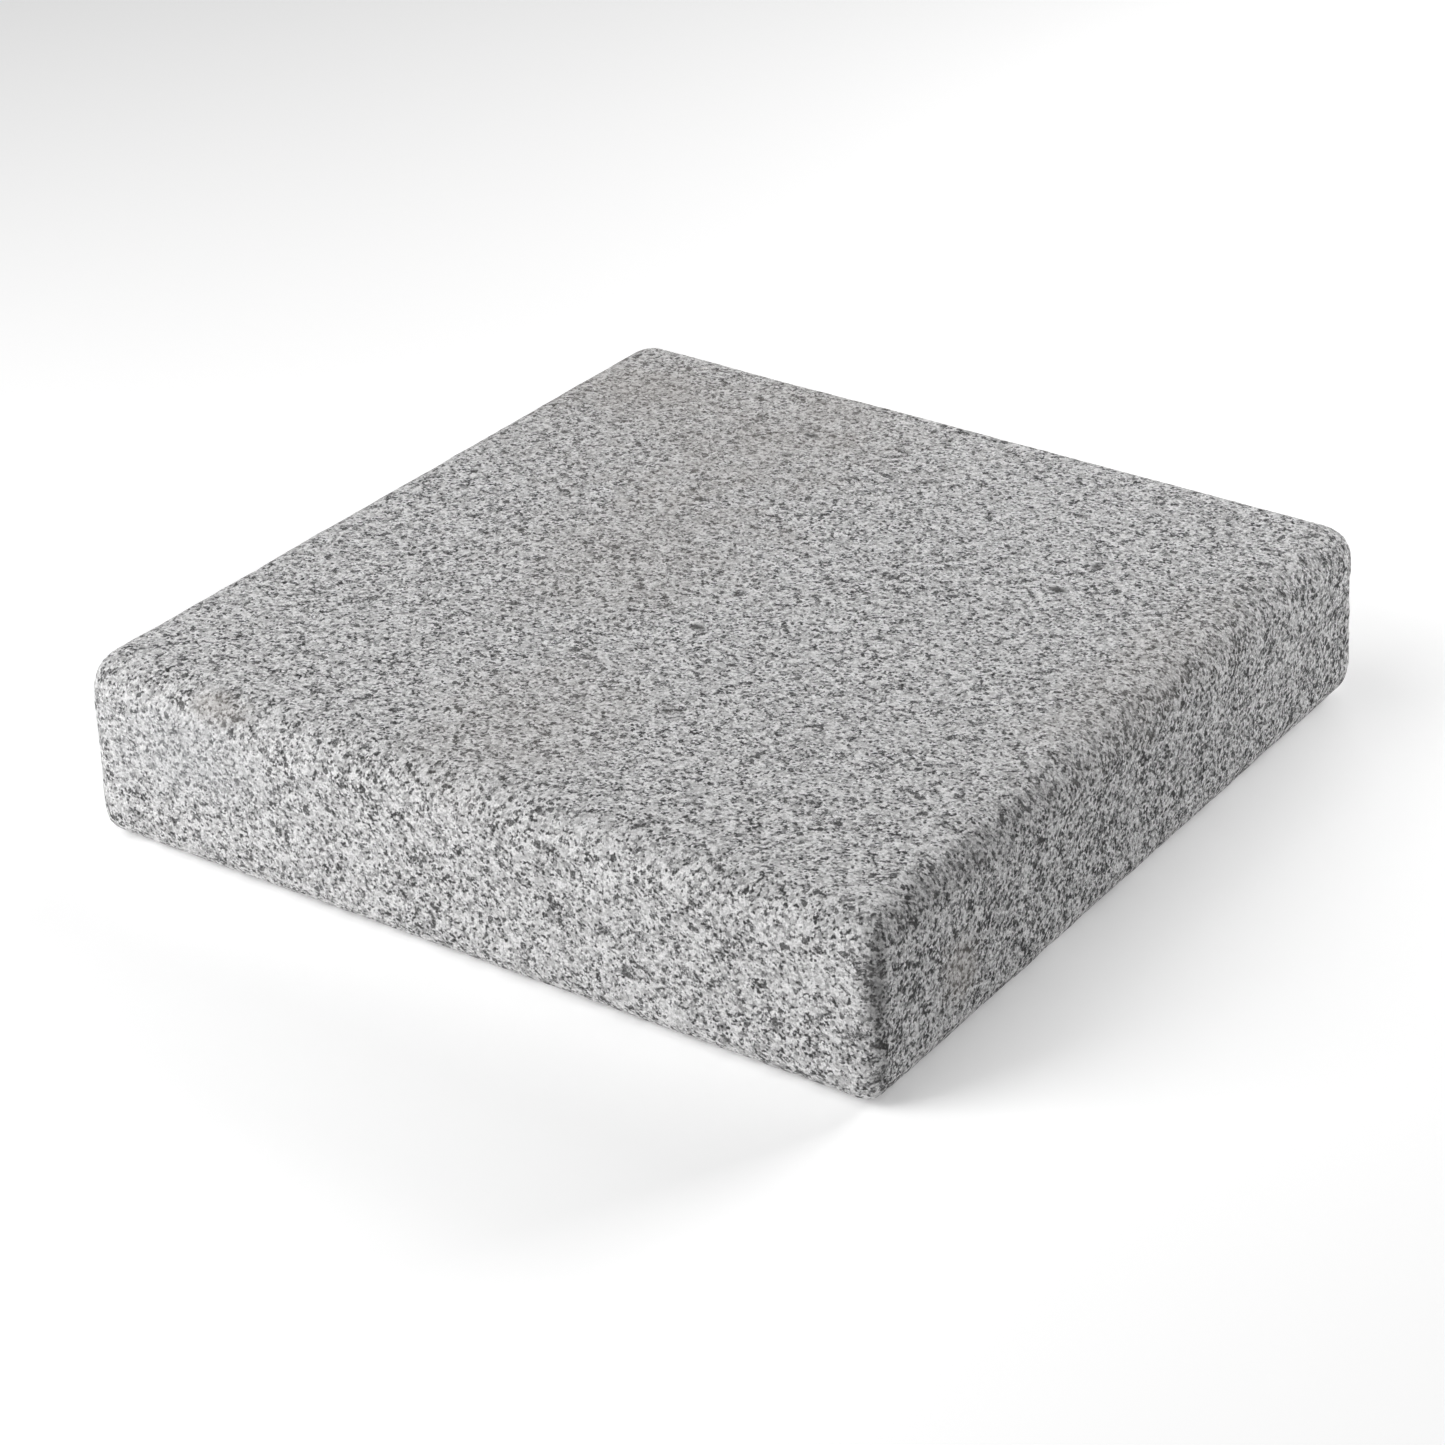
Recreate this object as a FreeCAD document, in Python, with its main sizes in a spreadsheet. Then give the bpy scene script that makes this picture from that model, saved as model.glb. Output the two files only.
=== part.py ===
"""Hand-cut granite slab for stamping and tooling leather on: one block of stone, worn round on every edge.

Frame: millimetres, +Z up, origin at the middle of the footprint on the underside. The front face
looks along -Y and the right face along +X.
"""

import FreeCAD, Part
import os

import Sketcher

# Driving dimensions, in millimetres. An inset says how far a corner stands in from the slab's box,
# because the block is cut by hand and isn't quite square.
DIMENSIONS = {
    "width": 300.0,  # along X
    "depth": 304.0,  # along Y, at the left face, which is the longest
    "thickness": 63.0,  # along Z
    "front_right_inset": 2.0,  # the front face runs back by this much towards the right
    "back_right_inset": 3.0,  # and the back face comes forward by this much
    "corner_radius": 12.0,  # worn round of the four upright edges
    "rim_radius": 11.0,  # between the working face and the sides
    "foot_radius": 10.0,  # between the sides and the underside
}

# The outline's corners in order round the slab: side in X, side in Y, and the inset along Y if it has one.
CORNERS = (
    (-1, -1, None),
    (1, -1, "front_right_inset"),
    (1, 1, "back_right_inset"),
    (-1, 1, None),
)

ORIGIN_POINT = (-1, 1)  # the sketch's own origin, as a constraint names it
NEAR = 0.01  # two heights closer than this are the same


def make_sheet(doc):
    """The spreadsheet that the sketch and every feature read their sizes from."""
    sheet = doc.addObject("Spreadsheet::Sheet", "Sizes")
    for row, (alias, value) in enumerate(DIMENSIONS.items(), start=1):
        sheet.set(f"A{row}", alias)
        sheet.set(f"B{row}", str(value))
        sheet.setAlias(f"B{row}", alias)
    doc.recompute()


def hold_corner(sketch, line, side, axis, expression):
    """Holds a line's start at a distance from the origin along one axis, on the given side of it."""
    corner = (line, 1)
    start, end = (corner, ORIGIN_POINT) if side < 0 else (ORIGIN_POINT, corner)
    distance = abs(getattr(sketch.Geometry[line].StartPoint, axis.lower()))
    index = sketch.addConstraint(Sketcher.Constraint(f"Distance{axis}", *start, *end, distance))
    sketch.setExpression(f"Constraints[{index}]", expression)


def make_outline(body):
    """The slab's four-sided outline, seen from above, with each corner bound to the sheet."""
    sketch = body.newObject("Sketcher::SketchObject", "Outline")
    xy_plane = next(f for f in body.Origin.OriginFeatures if f.Role == "XY_Plane")
    sketch.AttachmentSupport = [(xy_plane, "")]
    sketch.MapMode = "FlatFace"
    half_width = DIMENSIONS["width"] / 2
    half_depth = DIMENSIONS["depth"] / 2
    points = [
        FreeCAD.Vector(side_x * half_width, side_y * (half_depth - DIMENSIONS.get(inset, 0.0)), 0)
        for side_x, side_y, inset in CORNERS
    ]
    for start, end in zip(points, points[1:] + points[:1]):
        sketch.addGeometry(Part.LineSegment(start, end), False)
    for line, (side_x, side_y, inset) in enumerate(CORNERS):
        following = (line + 1) % len(CORNERS)
        sketch.addConstraint(Sketcher.Constraint("Coincident", line, 2, following, 1))
        hold_corner(sketch, line, side_x, "X", "Sizes.width / 2")
        set_in = f" - Sizes.{inset}" if inset else ""
        hold_corner(sketch, line, side_y, "Y", "Sizes.depth / 2" + set_in)
    return sketch


def is_upright(edge):
    """Whether an edge runs up one of the slab's corners."""
    heights = [v.Z for v in edge.Vertexes]
    return max(heights) - min(heights) > DIMENSIONS["thickness"] / 2


def is_rim(edge):
    """Whether an edge bounds the working face."""
    return all(abs(v.Z - DIMENSIONS["thickness"]) < NEAR for v in edge.Vertexes)


def is_foot(edge):
    """Whether an edge bounds the underside."""
    return all(abs(v.Z) < NEAR for v in edge.Vertexes)


def add_round(body, name, base, wanted, radius):
    """Rounds the edges of the feature before it that the test accepts, by a radius from the sheet."""
    edges = [f"Edge{i}" for i, edge in enumerate(base.Shape.Edges, start=1) if wanted(edge)]
    worn = body.newObject("PartDesign::Fillet", name)
    worn.Base = (base, edges)
    worn.Radius = DIMENSIONS[radius]
    worn.setExpression("Radius", f"Sizes.{radius}")
    body.Document.recompute()
    if worn.Shape.Volume >= base.Shape.Volume:
        raise RuntimeError(f"{name} took nothing off")
    return worn


def make_slab(doc):
    """The block of stone: its outline carried up to the working face, then every edge worn round."""
    body = doc.addObject("PartDesign::Body", "Slab")
    body.Label = "granite_slab"
    outline = make_outline(body)
    block = body.newObject("PartDesign::Pad", "Block")
    block.Profile = outline
    block.Length = DIMENSIONS["thickness"]
    block.setExpression("Length", "Sizes.thickness")
    doc.recompute()
    corners = add_round(body, "WornCorners", block, is_upright, "corner_radius")
    rim = add_round(body, "WornRim", corners, is_rim, "rim_radius")
    add_round(body, "WornFoot", rim, is_foot, "foot_radius")
    return body


def check(doc, body):
    """Stops if any feature failed or the slab isn't one sound closed solid."""
    for item in doc.Objects:
        if {"Invalid", "Error"} & set(item.State):
            raise RuntimeError(f"{item.Name} failed: {item.State}")
    if body.Shape.isNull() or not body.Shape.isValid() or len(body.Shape.Solids) != 1:
        raise RuntimeError(f"{body.Label} isn't one valid solid")


def main():
    """Builds the slab and writes its STEP file."""
    doc = FreeCAD.newDocument("GraniteSlab")
    make_sheet(doc)
    slab = make_slab(doc)
    doc.recompute()
    check(doc, slab)
    os.makedirs("parts", exist_ok=True)
    slab.Shape.exportStep(f"parts/{slab.Label}.step")
    box = slab.Shape.BoundBox
    print(
        f"{slab.Label}: {box.XLength:.2f} x {box.YLength:.2f} x {box.ZLength:.2f} mm,"
        f" {slab.Shape.Volume / 1e6:.3f} litres, {len(slab.Shape.Faces)} faces"
    )


main()
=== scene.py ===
"""Granite stamping slab: one hand-cut block of light grey granite, flamed and worn on its working face, hewn
on its sides, sawn underneath and rounded along every edge. It lies on a pale floor in soft studio light."""
import logging
import math
import random
from collections.abc import Iterator
from contextlib import contextmanager
from dataclasses import dataclass
from enum import Enum
from functools import reduce

import bmesh
import bpy
from mathutils import Matrix, Vector


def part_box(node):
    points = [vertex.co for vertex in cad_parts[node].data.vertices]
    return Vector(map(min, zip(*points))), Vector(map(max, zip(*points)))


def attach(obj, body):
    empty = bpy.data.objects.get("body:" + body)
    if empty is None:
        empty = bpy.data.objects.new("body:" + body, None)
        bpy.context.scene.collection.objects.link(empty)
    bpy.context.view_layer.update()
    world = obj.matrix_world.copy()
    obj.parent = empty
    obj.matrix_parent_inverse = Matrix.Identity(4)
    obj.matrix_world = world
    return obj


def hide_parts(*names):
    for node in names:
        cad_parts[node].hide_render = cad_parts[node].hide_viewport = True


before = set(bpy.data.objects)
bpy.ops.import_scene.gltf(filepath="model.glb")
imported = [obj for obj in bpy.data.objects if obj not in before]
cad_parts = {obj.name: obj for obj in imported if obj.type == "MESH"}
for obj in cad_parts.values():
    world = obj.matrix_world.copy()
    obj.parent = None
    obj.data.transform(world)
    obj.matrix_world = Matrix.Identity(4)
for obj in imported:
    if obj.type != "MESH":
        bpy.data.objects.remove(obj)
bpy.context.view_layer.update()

MM = 0.001  # one millimetre in Blender's metres
log = logging.getLogger("granite_slab")


# ---------------------------------------------------------------- mesh work


def only(piece: bpy.types.Object) -> None:
    """Selects one object alone and makes it active."""
    bpy.ops.object.select_all(action="DESELECT")
    piece.select_set(True)
    bpy.context.view_layer.objects.active = piece


@contextmanager
def editing(piece: bpy.types.Object) -> Iterator[bmesh.types.BMesh]:
    """Opens a piece in edit mode with nothing selected, and leaves edit mode afterwards.

    Args:
        piece: the mesh object to edit.

    Returns:
        The mesh under edit, for picking its vertices, edges and faces.
    """
    only(piece)
    bpy.ops.object.mode_set(mode="EDIT")
    bpy.ops.mesh.select_all(action="DESELECT")
    yield bmesh.from_edit_mesh(piece.data)
    bpy.ops.object.mode_set(mode="OBJECT")


def finish_with(piece: bpy.types.Object, kind: str, **settings: object) -> None:
    """Adds a modifier to a piece, sets it and applies it.

    Args:
        piece: the mesh object.
        kind: the modifier's type, such as BEVEL.
        settings: the modifier's own settings.
    """
    modifier = piece.modifiers.new(kind.title(), kind)
    for name, value in settings.items():
        setattr(modifier, name, value)
    only(piece)
    bpy.ops.object.modifier_apply(modifier=modifier.name)


class Surface(Enum):
    """The rough parts of the slab's skin, each a vertex group's name. The sawn underside is left plain."""

    WORKING_FACE = "working_face"
    SIDES = "sides"


class Side(Enum):
    """The slab's four sides, each by the way it faces in X and Y."""

    FRONT = (0, -1)
    RIGHT = (1, 0)
    BACK = (0, 1)
    LEFT = (-1, 0)


@dataclass(frozen=True)
class Corner:
    """One of the slab's four uprights: the sides it joins, and how far it stands in from the square block.

    Args:
        sides: +1 or -1 along X and along Y.
        rim: how far in it stands at the working face, along X and along Y.
        foot: how far in it stands at the underside.
        radius: how far it is worn round.
    """

    sides: tuple[int, int]
    rim: tuple[float, float]
    foot: tuple[float, float]
    radius: float


@dataclass(frozen=True)
class WornSide:
    """How far the long edges of one side are worn round, along the rim above it and along its foot."""

    side: Side
    rim: float
    foot: float


@dataclass(frozen=True)
class LongEdge:
    """One of the slab's eight long edges, worn round.

    Args:
        middle: the middle of the edge as it was cut, before it wore.
        along: the edge's whole length, as a vector.
        outwards: the way it faces, one unit long.
        radius: how far it is worn round.
    """

    middle: Vector
    along: Vector
    outwards: Vector
    radius: float

    def skin(self, share: float) -> Vector:
        """The place on the worn edge at a share of its length from its middle."""
        worn = self.radius * (math.sqrt(2) - 1)
        return self.middle + self.along * share - self.outwards * worn


@dataclass(frozen=True)
class Chips:
    """Shallow scoops knocked out of the slab's long edges.

    Args:
        per_edge: how many each edge has.
        reach: the least and the greatest radius of the ball that each scoop follows.
        depth: the least and the greatest depth.
        seed: fixes where they fall.
        spread: how far from an edge's middle they may fall, as a share of its length.
        ball_detail: how often the ball's faces are divided.
    """

    per_edge: int
    reach: tuple[float, float]
    depth: tuple[float, float]
    seed: int
    spread: float = 0.44
    ball_detail: int = 3

    def knock(self, block: bpy.types.Object, edges: list[LongEdge]) -> None:
        """Cuts the scoops out of the block, in turn along each edge.

        Args:
            block: the stone with its edges already rounded.
            edges: the edges to chip.
        """
        chance = random.Random(self.seed)
        for edge in edges:
            for _ in range(self.per_edge):
                reach = chance.uniform(*self.reach)
                skin = edge.skin(chance.uniform(-self.spread, self.spread))
                middle = skin + edge.outwards * (reach - chance.uniform(*self.depth))
                bpy.ops.object.select_all(action="DESELECT")
                bpy.ops.mesh.primitive_ico_sphere_add(
                    subdivisions=self.ball_detail,
                    radius=reach,
                    location=middle,
                )
                ball = bpy.context.active_object
                finish_with(block, "BOOLEAN", object=ball, operation="DIFFERENCE", solver="EXACT")
                only(ball)
                bpy.ops.object.delete()


@dataclass(frozen=True)
class Relief:
    """One layer of unevenness in the stone's skin, cut inwards from the smooth block.

    Args:
        surface: which part of the skin it covers.
        texture: the kind of noise, as Blender's textures name it.
        grain: the size of its swells or pits, in metres.
        depth: how deep its hollows go, in metres.
        octaves: how many finer layers it carries.
        untouched: the noise's tone, from 0 to 1, that leaves the skin where it is. Darker tones cut in.
    """

    surface: Surface
    texture: str
    grain: float
    depth: float
    octaves: int
    untouched: float = 0.9

    def cut(self, piece: bpy.types.Object) -> None:
        """Presses this layer into the piece."""
        noise = bpy.data.textures.new(f"{self.surface.value}_{self.texture}", self.texture)
        noise.noise_scale = self.grain
        noise.noise_depth = self.octaves
        finish_with(
            piece,
            "DISPLACE",
            texture=noise,
            texture_coords="LOCAL",
            vertex_group=self.surface.value,
            direction="NORMAL",
            strength=self.depth,
            mid_level=self.untouched,
        )
        bpy.data.textures.remove(noise)


@dataclass(frozen=True)
class GraniteSlab:
    """The block of stone: its cut size, its worn edges and the unevenness of its skin, all in metres.

    Args:
        width: the squared block's length along X.
        depth: its length along Y.
        thickness: its height.
        corners: its four uprights.
        worn_sides: how round the edges above and below each side are.
        chips: the scoops along its long edges.
        reliefs: the layers of unevenness, in the order in which they are cut.
        bevel_steps: how many flats make up each rounded edge before the skin is remade.
        voxel: how fine the remade skin is.
        triangles: how many triangles the finished stone may have.
    """

    width: float
    depth: float
    thickness: float
    corners: tuple[Corner, ...] = (
        Corner((-1, -1), (0.0, 1.7 * MM), (0.0, 0.0), 11.5 * MM),
        Corner((1, -1), (0.8 * MM, 2.4 * MM), (0.0, 2.3 * MM), 6.5 * MM),
        Corner((1, 1), (0.0, 6 * MM), (0.5 * MM, 0.0), 10.5 * MM),
        Corner((-1, 1), (0.8 * MM, 0.0), (0.0, 0.0), 11 * MM),
    )
    worn_sides: tuple[WornSide, ...] = (
        WornSide(Side.FRONT, 14 * MM, 10.5 * MM),
        WornSide(Side.RIGHT, 12.5 * MM, 11.6 * MM),
        WornSide(Side.BACK, 8.5 * MM, 10 * MM),
        WornSide(Side.LEFT, 10.5 * MM, 8.5 * MM),
    )
    chips: Chips = Chips(per_edge=5, reach=(7 * MM, 16 * MM), depth=(0.4 * MM, 1.1 * MM), seed=5)
    reliefs: tuple[Relief, ...] = (
        Relief(Surface.SIDES, "CLOUDS", 45 * MM, 0.8 * MM, 1),
        Relief(Surface.SIDES, "CLOUDS", 10 * MM, 0.9 * MM, 2),
        Relief(Surface.SIDES, "CLOUDS", 3.6 * MM, 0.4 * MM, 1),
        Relief(Surface.WORKING_FACE, "CLOUDS", 60 * MM, 0.3 * MM, 1),
        Relief(Surface.WORKING_FACE, "CLOUDS", 7 * MM, 0.4 * MM, 2),
    )
    bevel_steps: int = 8
    voxel: float = 1.45 * MM
    triangles: int = 190_000

    def square_block(self) -> bpy.types.Object:
        """Adds the squared block, and draws its corners in to where the saw and chisel left them.

        Returns:
            The block, with sharp edges.
        """
        bpy.ops.object.select_all(action="DESELECT")
        bpy.ops.mesh.primitive_cube_add(size=1, location=(0, 0, self.thickness / 2))
        block = bpy.context.active_object
        block.name = "slab"
        block.scale = (self.width, self.depth, self.thickness)
        bpy.ops.object.transform_apply(location=True, rotation=True, scale=True)
        for corner in self.corners:
            side_x, side_y = corner.sides
            for height, (inset_x, inset_y) in ((self.thickness, corner.rim), (0.0, corner.foot)):
                point = Vector((side_x * self.width / 2, side_y * self.depth / 2, height))
                with editing(block) as mesh:
                    min(mesh.verts, key=lambda v: (v.co - point).length).select = True
                    bpy.ops.transform.translate(value=(-side_x * inset_x, -side_y * inset_y, 0))
        return block

    def edge_radius(self, edge: bmesh.types.BMEdge) -> float:
        """How far one of the block's twelve edges is worn round.

        Args:
            edge: an edge of the block while it still has eight corners.

        Returns:
            The radius, in metres.
        """
        start, end = (vertex.co for vertex in edge.verts)
        middle = (start + end) / 2
        place = Vector((middle.x / self.width, middle.y / self.depth))
        if abs(start.z - end.z) > self.thickness / 2:
            return max(self.corners, key=lambda c: place.dot(Vector(c.sides))).radius
        worn = max(self.worn_sides, key=lambda w: place.dot(Vector(w.side.value)))
        return worn.rim if middle.z > self.thickness / 2 else worn.foot

    def wear_edges(self, block: bpy.types.Object) -> None:
        """Rounds every edge of the block by its own radius."""
        radii = [c.radius for c in self.corners]
        radii += [radius for worn in self.worn_sides for radius in (worn.rim, worn.foot)]
        widest = max(radii)
        with editing(block) as mesh:
            weight = mesh.edges.layers.float.new("bevel_weight_edge")
            for edge in mesh.edges:
                edge[weight] = self.edge_radius(edge) / widest
        finish_with(
            block,
            "BEVEL",
            width=widest,
            segments=self.bevel_steps,
            limit_method="WEIGHT",
            use_clamp_overlap=False,
        )

    def long_edges(self) -> list[LongEdge]:
        """The four edges of the rim and the four of the foot, side by side."""
        edges = []
        for worn in self.worn_sides:
            out = Vector((*worn.side.value, 0))
            along = Vector((abs(out.y) * self.width, abs(out.x) * self.depth, 0))
            face = Vector((out.x * self.width / 2, out.y * self.depth / 2, 0))
            for height, up, radius in ((self.thickness, 1, worn.rim), (0.0, -1, worn.foot)):
                middle = face + Vector((0, 0, height))
                edges.append(LongEdge(middle, along, (out + Vector((0, 0, up))).normalized(), radius))
        return edges

    def mark_surfaces(self, block: bpy.types.Object) -> None:
        """Gives each vertex its share of the working face and of the sides, from the way it faces."""
        groups = {surface: block.vertex_groups.new(name=surface.value) for surface in Surface}
        for vertex in block.data.vertices:
            up = vertex.normal.z
            groups[Surface.WORKING_FACE].add([vertex.index], max(up, 0.0) ** 2, "REPLACE")
            groups[Surface.SIDES].add([vertex.index], 1 - up**2, "REPLACE")

    def make(self) -> bpy.types.Object:
        """Cuts, wears and weathers the slab.

        Returns:
            The finished stone, in place.
        """
        block = self.square_block()
        self.wear_edges(block)
        self.chips.knock(block, self.long_edges())
        finish_with(block, "REMESH", mode="VOXEL", voxel_size=self.voxel)
        self.mark_surfaces(block)
        for relief in self.reliefs:
            relief.cut(block)
        count = sum(len(face.vertices) - 2 for face in block.data.polygons)
        finish_with(block, "DECIMATE", ratio=min(1.0, self.triangles / count), use_collapse_triangulate=True)
        only(block)
        bpy.ops.object.shade_smooth()
        return block


# ---------------------------------------------------------------- finishes


class Flow:
    """A number or a vector on its way through a material, with Python's own arithmetic."""

    def __init__(self, graph: "Graph", socket: bpy.types.NodeSocket) -> None:
        """Wraps one output socket of the graph."""
        self.graph = graph
        self.socket = socket

    def __add__(self, other: "Operand") -> "Flow":
        """This plus the other."""
        return self.graph.sum_up("ADD", self, other)

    def __radd__(self, other: "Operand") -> "Flow":
        """The other plus this."""
        return self.graph.sum_up("ADD", other, self)

    def __sub__(self, other: "Operand") -> "Flow":
        """This less the other."""
        return self.graph.sum_up("SUBTRACT", self, other)

    def __rsub__(self, other: "Operand") -> "Flow":
        """The other less this."""
        return self.graph.sum_up("SUBTRACT", other, self)

    def __mul__(self, other: "Operand") -> "Flow":
        """This times the other."""
        return self.graph.sum_up("MULTIPLY", self, other)

    def __rmul__(self, other: "Operand") -> "Flow":
        """The other times this."""
        return self.graph.sum_up("MULTIPLY", other, self)


Colour = tuple[float, float, float, float]
Operand = Flow | float | tuple[float, float, float]


class Graph:
    """The nodes of one material, built from calls and expressions."""

    def __init__(self, name: str) -> None:
        """Starts a material with nothing but its shader and output."""
        self.material = bpy.data.materials.new(name)
        self.material.use_nodes = True
        self.nodes = self.material.node_tree.nodes
        self.links = self.material.node_tree.links
        self.shader = self.nodes["Principled BSDF"]

    def node(self, kind: str, output: str, settings: dict[str, object], **inputs: object) -> Flow:
        """Adds one node.

        Args:
            kind: the node's type, without its ShaderNode prefix.
            output: the output socket that is wanted.
            settings: the node's own properties, set before its sockets.
            inputs: values or flows for its input sockets, by name with _ for a space, or by number as in _0.

        Returns:
            The wanted output.
        """
        node = self.nodes.new(f"ShaderNode{kind}")
        for name, value in settings.items():
            setattr(node, name, value)
        for name, value in inputs.items():
            key = int(name[1:]) if name.startswith("_") else name.replace("_", " ")
            self.feed(node.inputs[key], value)
        return Flow(self, next(s for s in node.outputs if s.name == output and s.enabled))

    def feed(self, socket: bpy.types.NodeSocket, value: object) -> None:
        """Links a flow into a socket, or sets the socket to a plain value."""
        if isinstance(value, Flow):
            self.links.new(value.socket, socket)
        else:
            socket.default_value = value

    def sum_up(self, operation: str, first: Operand, second: Operand) -> Flow:
        """Adds the node of one step of arithmetic: Math for numbers, or Vector Math where one is a vector.

        Args:
            operation: what the node does, as Blender names it.
            first: its first term.
            second: its second term.

        Returns:
            The outcome.
        """
        kinds = {f.socket.type for f in (first, second) if isinstance(f, Flow)}
        if kinds == {"VALUE"}:
            return self.node("Math", "Value", {"operation": operation}, _0=first, _1=second)
        first, second = ((f, f, f) if isinstance(f, (int, float)) else f for f in (first, second))
        return self.node("VectorMath", "Vector", {"operation": operation}, _0=first, _1=second)

    def most(self, *flows: Flow) -> Flow:
        """The greatest of some numbers."""
        return reduce(lambda first, second: self.sum_up("MAXIMUM", first, second), flows)

    def step(self, value: Flow, start: float, end: float) -> Flow:
        """A smooth step.

        Args:
            value: what the step follows.
            start: the value at which the step is still 0.
            end: the value at which it has reached 1, which may be the lower of the two.

        Returns:
            The step, from 0 to 1.
        """
        ends = {"From_Min": start, "From_Max": end}
        if start > end:
            ends = {"From_Min": end, "From_Max": start, "To_Min": 1.0, "To_Max": 0.0}
        return self.node("MapRange", "Result", {"interpolation_type": "SMOOTHSTEP"}, Value=value, **ends)

    def grains(self, place: Flow, size: float, softness: float) -> Flow:
        """A random tone from 0 to 1 for each crystal of a packed stone.

        Args:
            place: where the surface is.
            size: how far across the crystals are, in the place's own units.
            softness: how far neighbours run into one another, from 0 to 1.

        Returns:
            The tone.
        """
        cells = self.node(
            "TexVoronoi", "Color", {"feature": "SMOOTH_F1"}, Vector=place, Scale=1 / size, Smoothness=softness
        )
        return self.node("SeparateColor", "Red", {}, Color=cells)

    def blend(self, amount: Flow, first: Flow | Colour, second: Flow | Colour) -> Flow:
        """The first colour where the amount is 0, going over to the second where it is 1."""
        return self.node("Mix", "Result", {"data_type": "RGBA"}, _0=amount, _6=first, _7=second)


BLUSH = 0.006  # how much green the stone lacks


def grey(value: float, warmth: float = 0.0) -> Colour:
    """A nearly neutral colour, linear.

    Args:
        value: how light it is, from 0 to 1.
        warmth: how far its red stands above its blue, as a share of the value.

    Returns:
        The colour, with a trace less green.
    """
    return (value * (1 + warmth / 2), value * (1 - BLUSH), value * (1 - warmth / 2), 1.0)


GRIME = grey(0.36, 0.20)  # brown-grey dust worked into the pores
DARK_SPOT_AND_SHADE = grey(0.10, 0.03)  # near black: the stone's five dark spots, and painted shade at the front right upright and along the right rim
BLEACHED = grey(0.62, -0.05)  # the cool, clean stone of a washed side
PATCH_EDGE = (1.2, 0.2)  # where each patch, stains and painted shade alike, ends and where it is full, as shares of its reach


@dataclass(frozen=True)
class Noise:
    """Soft noise round 0.

    Args:
        size: how far apart its swells are, in millimetres.
        detail: how many finer layers it carries.
        roughness: how strong each finer layer is beside the one before.
        swing: its whole range from lowest to highest.
        start: where its pattern begins, so that no two noises coincide.
    """

    size: float
    detail: float
    roughness: float
    swing: float = 1.0
    start: float = 0.0

    def over(self, graph: Graph, place: Flow, output: str = "Fac") -> Flow:
        """Lays the noise over a material.

        Args:
            graph: the material.
            place: where the surface is, in millimetres.
            output: Fac for a number, or Color for a vector.

        Returns:
            The noise.
        """
        tone = graph.node(
            "TexNoise",
            output,
            {},
            Vector=place + self.start,
            Scale=1 / self.size,
            Detail=self.detail,
            Roughness=self.roughness,
        )
        return (tone - 0.5) * self.swing


@dataclass(frozen=True)
class FleckCrop:
    """One crop of flecks strewn through the stone. Most crops are crystals; one is flecks of painted shade on
    the right side.

    Args:
        size: how far across they are, in millimetres.
        softness: how far neighbours run into one another, from 0 to 1.
        edge: the tones at which a crystal is not yet, and is wholly, of this crop.
        crumble: how much the stone's crumbly grain eats into them.
        crowding: how much they gather in clusters.
        strength: how strongly they colour the stone, from 0 to 1.
        start: where their pattern begins, so that no two crops coincide.
    """

    size: float
    softness: float
    edge: tuple[float, float]
    crumble: float
    crowding: float = 0.0
    strength: float = 1.0
    start: float = 0.0

    def strew(self, graph: Graph, place: Flow, crumble: Flow, crowding: Flow) -> Flow:
        """Strews the crop through a material.

        Args:
            graph: the stone's material.
            place: where the surface is, in millimetres.
            crumble: the stone's crumbly grain, round 0.
            crowding: where crystals gather, round 0.

        Returns:
            How far the stone is of this crop, from 0 to its strength.
        """
        tone = graph.grains(place + self.start, self.size, self.softness)
        sparse = crumble * self.crumble - crowding * self.crowding
        return graph.step(tone + sparse, *self.edge) * self.strength


@dataclass(frozen=True)
class StainAndShade:
    """A soft patch that tints the stone. Most are stains of weather and handling; two are painted shade on
    the right side.

    Args:
        centre: its middle, in millimetres.
        reach: how far it spreads along X, Y and Z, in millimetres.
        colour: what it tints the stone towards.
        strength: how far the stone goes towards that colour in its middle.
    """

    centre: tuple[float, float, float]
    reach: tuple[float, float, float]
    colour: Colour
    strength: float

    def tint(self, graph: Graph, place: Flow, ragged: Flow, stone: Flow) -> Flow:
        """Tints the stone with this patch.

        Args:
            graph: the stone's material.
            place: where the surface is, in millimetres.
            ragged: noise round 0 that breaks up the patch's edge.
            stone: the stone's colour so far.

        Returns:
            The tinted colour.
        """
        offset = (place - self.centre) * tuple(1 / reach for reach in self.reach)
        distance = graph.node("VectorMath", "Value", {"operation": "LENGTH"}, _0=offset)
        return graph.blend(graph.step(distance + ragged, *PATCH_EDGE) * self.strength, stone, self.colour)


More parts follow.
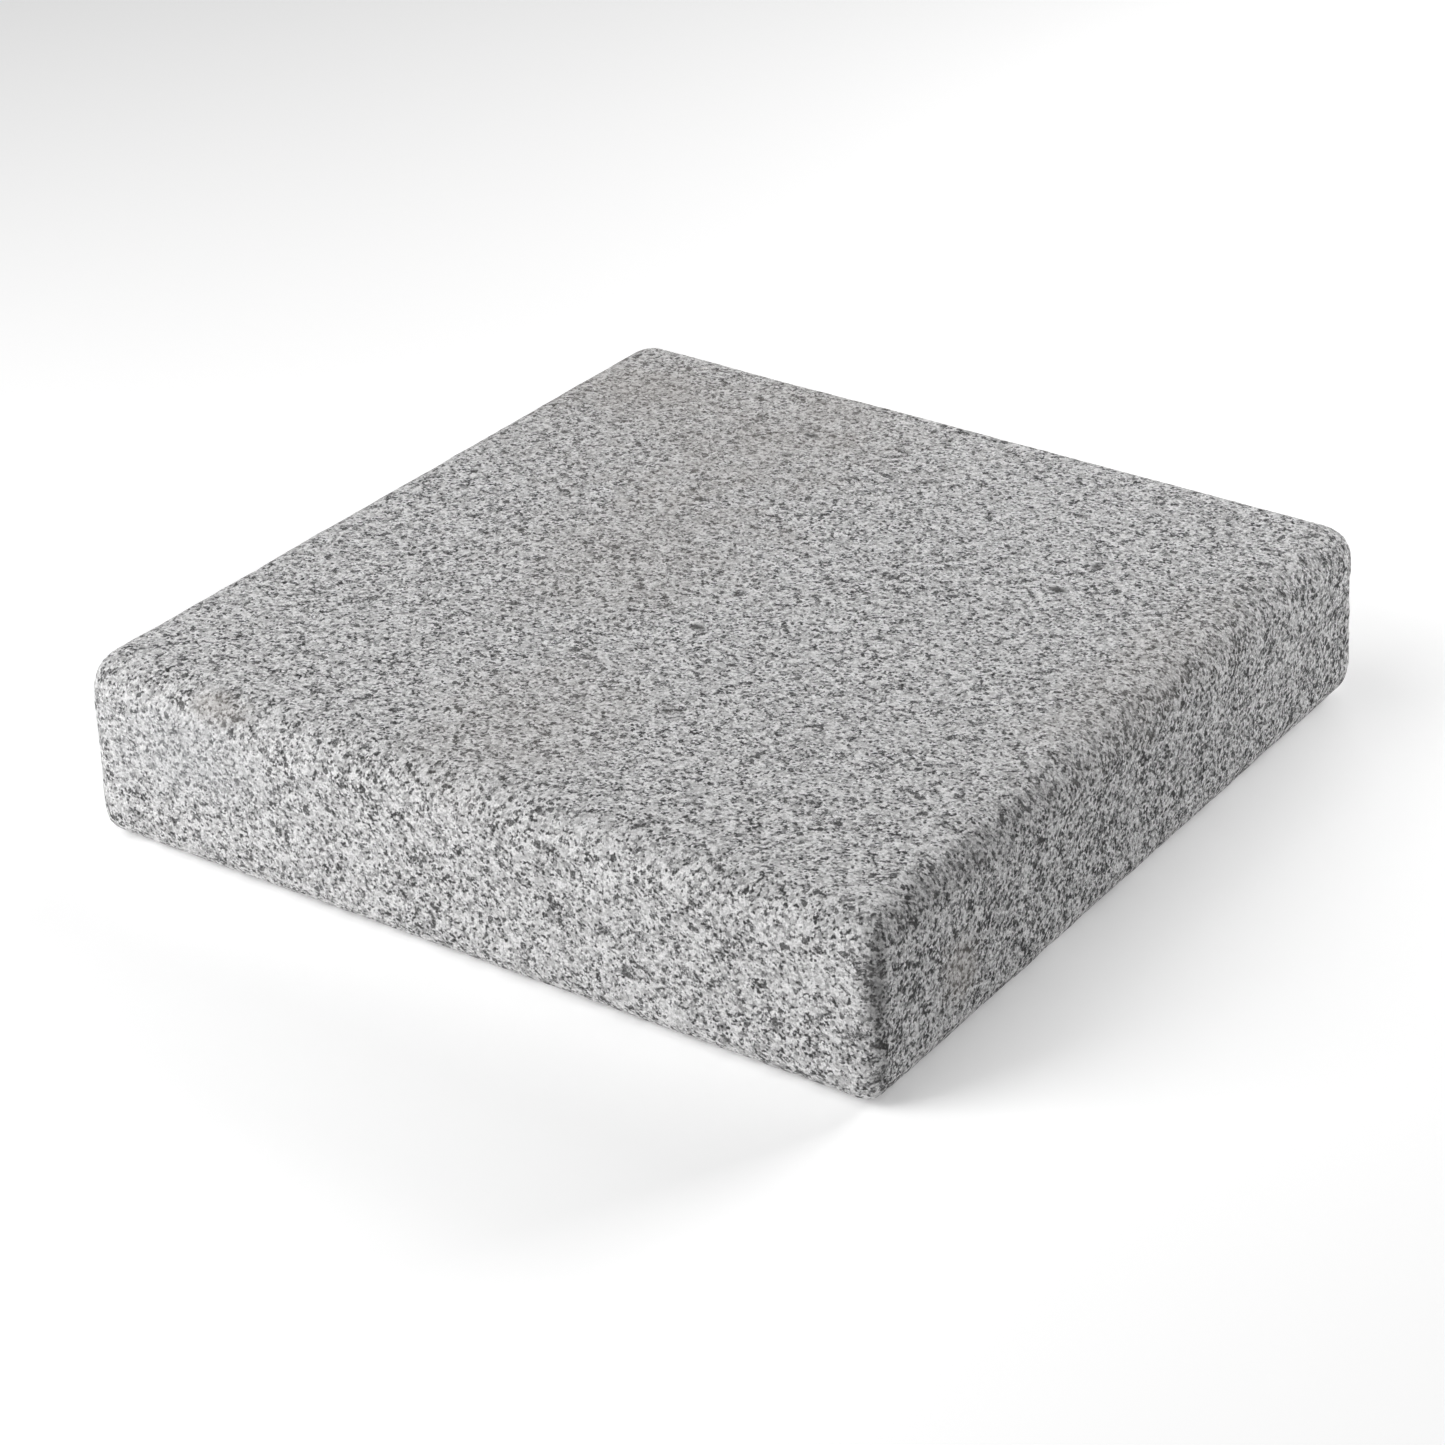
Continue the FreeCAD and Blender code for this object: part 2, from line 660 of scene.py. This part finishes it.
@dataclass(frozen=True)
class Granite:
    """Light grey granite: pale and dull feldspar, grey quartz and flakes of black mica, all in millimetres.

    Args:
        feldspar: the colour of the stone's body.
        dull_feldspar: the colour of its cloudy crystals.
        quartz: the colour of its glassy ones.
        mica: the colour of its dark ones.
        cloudy, glassy: the crops of dull feldspar and of quartz.
        flakes, books: the crops of mica. Books are its thick stacks.
        raking_shade_flecks: a further crop of dark flecks on the right side, painted shade for the relief
            shading of raking light there, drawn like mica.
        raking_shade_side: between which places along X these flecks of painted shade come in.
        mica_strength: how far mica hides what it lies on.
        jostle: pushes the crystals' outlines about.
        crumble: the finest unevenness of tone.
        crowding: gathers the crystals in clusters.
        grit: lightens and darkens the whole, round 1.
        ragged: breaks up the edges of the stains and of the patches of painted shade.
        pits: the swells of the bump.
        pit_crumble: how much of the crumble joins them.
        pit_depth: how deep the bump is, in metres.
        roughness: of the stone between the mica.
        mica_polish: how much smoother mica is.
        sheen: the stone's specular level.
        stains_and_shade: the patches of weather and handling, on top, on the sides, then two of painted shade
            at the front right upright and along the right rim, and last the five dark spots.
    """

    feldspar: Colour = grey(0.85, 0.003)
    dull_feldspar: Colour = grey(0.59, 0.005)
    quartz: Colour = grey(0.26)
    mica: Colour = grey(0.045)
    cloudy: FleckCrop = FleckCrop(1.15, 0.8, (0.68, 0.12), crumble=1.6)
    glassy: FleckCrop = FleckCrop(
        0.88, 0.7, (0.46, 0.06), crumble=1.1, crowding=0.75, strength=0.84, start=31.7
    )
    flakes: FleckCrop = FleckCrop(0.79, 0.6, (0.35, 0.05), crumble=1.1, crowding=0.75, start=77.3)
    books: FleckCrop = FleckCrop(1.75, 0.4, (0.19, 0.03), crumble=0.9, strength=0.9, start=140.9)
    # painted shade: dark flecks on the right side only, for the relief shading that raking light gives there
    raking_shade_flecks: FleckCrop = FleckCrop(1.2, 0.4, (0.36, 0.10), crumble=1.1, crowding=0.75, start=203.1)
    raking_shade_side: tuple[float, float] = (140.0, 149.0)
    mica_strength: float = 0.95
    jostle: Noise = Noise(0.5, 4.0, 0.8, swing=1.1)
    crumble: Noise = Noise(0.75, 5.0, 0.85, start=5.3)
    crowding: Noise = Noise(4.2, 3.0, 0.6)
    grit: Noise = Noise(0.65, 3.0, 0.8, swing=1.5, start=9.1)
    ragged: Noise = Noise(14.0, 4.0, 0.6, swing=1.6)
    pits: Noise = Noise(1.3, 5.0, 0.7, swing=1.6)
    pit_crumble: float = 0.5
    pit_depth: float = 0.6 * MM
    roughness: float = 0.92
    mica_polish: float = 0.2
    sheen: float = 0.05
    stains_and_shade: tuple[StainAndShade, ...] = (
        StainAndShade((-100, 110, 63), (120, 85, 40), GRIME, 0.14),
        StainAndShade((-50, 95, 63), (45, 62, 30), GRIME, 0.13),
        StainAndShade((-42, 5, 63), (50, 60, 30), GRIME, 0.15),
        StainAndShade((-4, -105, 63), (36, 52, 20), GRIME, 0.14),
        StainAndShade((-118, 112, 63), (34, 26, 20), GRIME, 0.20),
        StainAndShade((136, 15, 60), (20, 80, 16), GRIME, 0.16),
        StainAndShade((150, -104, 26), (10, 14, 12), GRIME, 0.30),
        StainAndShade((-96, -147, 60), (16, 12, 6), GRIME, 0.34),
        StainAndShade((-105, -151, 40), (42, 10, 22), BLEACHED, 0.22),
        # painted shade in the hollow beside the front right upright
        StainAndShade((150, -147, 42), (7, 6, 28), DARK_SPOT_AND_SHADE, 0.50),
        # painted shade along the rounded rim above the front half of the right side
        StainAndShade((147, -105, 57), (7, 75, 7), DARK_SPOT_AND_SHADE, 0.20),
        # the five dark spots of the stone itself
        StainAndShade((4, -29, 63), (4.2, 2.0, 3.0), DARK_SPOT_AND_SHADE, 0.90),
        StainAndShade((90, 74, 63), (2.8, 3.4, 3.0), DARK_SPOT_AND_SHADE, 0.90),
        StainAndShade((88, 53, 63), (3.4, 2.2, 3.0), DARK_SPOT_AND_SHADE, 0.90),
        StainAndShade((-46, 110, 63), (3.4, 2.2, 3.0), DARK_SPOT_AND_SHADE, 0.85),
        StainAndShade((-43, 93, 63), (2.4, 2.6, 3.0), DARK_SPOT_AND_SHADE, 0.85),
    )

    def finish(self) -> bpy.types.Material:
        """Builds the material.

        Returns:
            The stone's one material, solid all through.
        """
        graph = Graph("granite")
        place = graph.node("TexCoord", "Object", {}) * (1 / MM)
        crystal = place + self.jostle.over(graph, place, output="Color")
        crumble = self.crumble.over(graph, place)
        crowding = self.crowding.over(graph, place)
        cloudy, glassy, flakes, books, raking_shade_flecks = (
            crop.strew(graph, crystal, crumble, crowding)
            for crop in (self.cloudy, self.glassy, self.flakes, self.books, self.raking_shade_flecks)
        )
        # the right side, where flecks of painted shade join the mica and take its colour and smoothness
        shaded_right_side = graph.step(graph.node("SeparateXYZ", "X", {}, Vector=place), *self.raking_shade_side)
        mica = graph.most(flakes, raking_shade_flecks * shaded_right_side, books)
        stone = graph.blend(cloudy, self.feldspar, self.dull_feldspar)
        stone = graph.blend(glassy, stone, self.quartz)
        stone = graph.blend(mica * self.mica_strength, stone, self.mica)
        stone = stone * (1 + self.grit.over(graph, place))
        ragged = self.ragged.over(graph, place)
        for tint_patch in self.stains_and_shade:
            stone = tint_patch.tint(graph, crystal, ragged, stone)
        graph.feed(graph.shader.inputs["Base Color"], stone)
        graph.feed(graph.shader.inputs["Roughness"], self.roughness - mica * self.mica_polish)
        graph.feed(graph.shader.inputs["Specular IOR Level"], self.sheen)
        relief = self.pits.over(graph, place) + crumble * self.pit_crumble
        bump = graph.node("Bump", "Normal", {}, Height=relief, Distance=self.pit_depth, Strength=1.0)
        graph.feed(graph.shader.inputs["Normal"], bump)
        return graph.material


# ---------------------------------------------------------------- studio

WHITE: Colour = (1.0, 1.0, 1.0, 1.0)


@dataclass(frozen=True)
class Camera:
    """The camera, by where it stands about the slab: angles in degrees, lengths in metres.

    Args:
        azimuth: how far it stands round to the right of the front.
        elevation: how far it looks down.
        roll: how far it is turned about its own axis.
        distance: how far it stands from the slab, along its own axis.
        slab_right: how far right of the picture's middle the middle of the underside lies.
        slab_below: how far below it.
        lens_mm: its focal length, in millimetres.
    """

    azimuth: float = 35.96
    elevation: float = 29.02
    roll: float = -1.89
    distance: float = 1.2007
    slab_right: float = 6.84 * MM
    slab_below: float = 11.71 * MM
    lens_mm: float = 90.68

    def place(self) -> None:
        """Adds the camera and makes it the scene's own."""
        turn, tilt, roll = (math.radians(angle) for angle in (self.azimuth, self.elevation, self.roll))
        forward = Vector((-math.sin(turn) * math.cos(tilt), math.cos(turn) * math.cos(tilt), -math.sin(tilt)))
        level = forward.cross(Vector((0, 0, 1))).normalized()
        above = level.cross(forward)
        right = math.cos(roll) * level + math.sin(roll) * above
        up = math.cos(roll) * above - math.sin(roll) * level
        stand = self.slab_below * up - self.slab_right * right - self.distance * forward
        bpy.ops.object.camera_add(location=stand)
        camera = bpy.context.active_object
        camera.name = "camera"
        camera.rotation_euler = Matrix((right, up, -forward)).transposed().to_euler()
        camera.data.lens = self.lens_mm
        bpy.context.scene.camera = camera


@dataclass(frozen=True)
class Softbox:
    """One square softbox that faces the slab, by where it stands: angles in degrees, lengths in metres.

    Args:
        name: what it is called.
        azimuth: how far it stands round to the right of the front.
        elevation: how high it stands.
        power: how bright it is, in watts.
        distance: how far it stands from the slab.
        side: how wide and high it is.
    """

    name: str
    azimuth: float
    elevation: float
    power: float
    distance: float = 1.8
    side: float = 1.2

    def place(self) -> None:
        """Adds the softbox, turned to the slab and hidden from the camera."""
        turn, lift = math.radians(self.azimuth), math.radians(self.elevation)
        towards = Vector((math.sin(turn) * math.cos(lift), -math.cos(turn) * math.cos(lift), math.sin(lift)))
        bpy.ops.object.light_add(type="AREA", location=towards * self.distance)
        light = bpy.context.active_object
        light.name = self.name
        light.rotation_euler = towards.to_track_quat("Z", "Y").to_euler()
        light.data.size = self.side
        light.visible_camera = False
        light.data.energy = self.power


@dataclass(frozen=True)
class Studio:
    """The pale floor, the softboxes and the even light between them.

    Args:
        softboxes: the lights.
        fill: how bright the even light is.
        floor_side: how wide and deep the floor is, in metres.
        floor_grey: its tone.
        floor_glow: how brightly it shines by itself, which keeps it nearly white.
    """

    softboxes: tuple[Softbox, ...] = (
        Softbox("softbox_front", azimuth=-31, elevation=30, power=11.2, distance=1.3, side=0.7),
        Softbox("softbox_top", azimuth=-24, elevation=60, power=12.2),
        Softbox("softbox_right", azimuth=152, elevation=24, power=7.8, distance=1.1, side=0.4),
        Softbox("softbox_back", azimuth=186, elevation=35, power=6.6),
    )
    fill: float = 0.02
    floor_side: float = 12.0
    floor_grey: float = 0.9
    floor_glow: float = 0.19

    def lay_floor(self) -> None:
        """Adds the floor that the slab lies on."""
        bpy.ops.mesh.primitive_plane_add(size=self.floor_side)
        floor = bpy.context.active_object
        floor.name = "floor"
        material = bpy.data.materials.new("pale_floor")
        material.use_nodes = True
        shader = material.node_tree.nodes["Principled BSDF"]
        shader.inputs["Base Color"].default_value = (*[self.floor_grey] * 3, 1.0)
        shader.inputs["Roughness"].default_value = 1.0
        shader.inputs["Specular IOR Level"].default_value = 0.0
        shader.inputs["Emission Color"].default_value = WHITE
        shader.inputs["Emission Strength"].default_value = self.floor_glow
        floor.data.materials.append(material)

    def light(self) -> None:
        """Adds the softboxes and the fill light, and shows colours as they are."""
        for softbox in self.softboxes:
            softbox.place()
        world = bpy.data.worlds.new("studio")
        world.use_nodes = True
        backdrop = world.node_tree.nodes["Background"]
        backdrop.inputs["Strength"].default_value = self.fill
        backdrop.inputs["Color"].default_value = WHITE
        bpy.context.scene.world = world
        bpy.context.scene.view_settings.view_transform = "Standard"


def main() -> None:
    """Makes the slab and the studio round it."""
    low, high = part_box("granite_slab")
    size = high - low
    slab = GraniteSlab(size.x, size.y, size.z).make()
    slab.data.materials.append(Granite().finish())
    log.info("slab: %d triangles", len(slab.data.polygons))
    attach(slab, "root")
    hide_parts("granite_slab")
    studio = Studio()
    studio.lay_floor()
    studio.light()
    Camera().place()


if __name__ == "__main__":
    logging.basicConfig(level=logging.INFO)
    main()
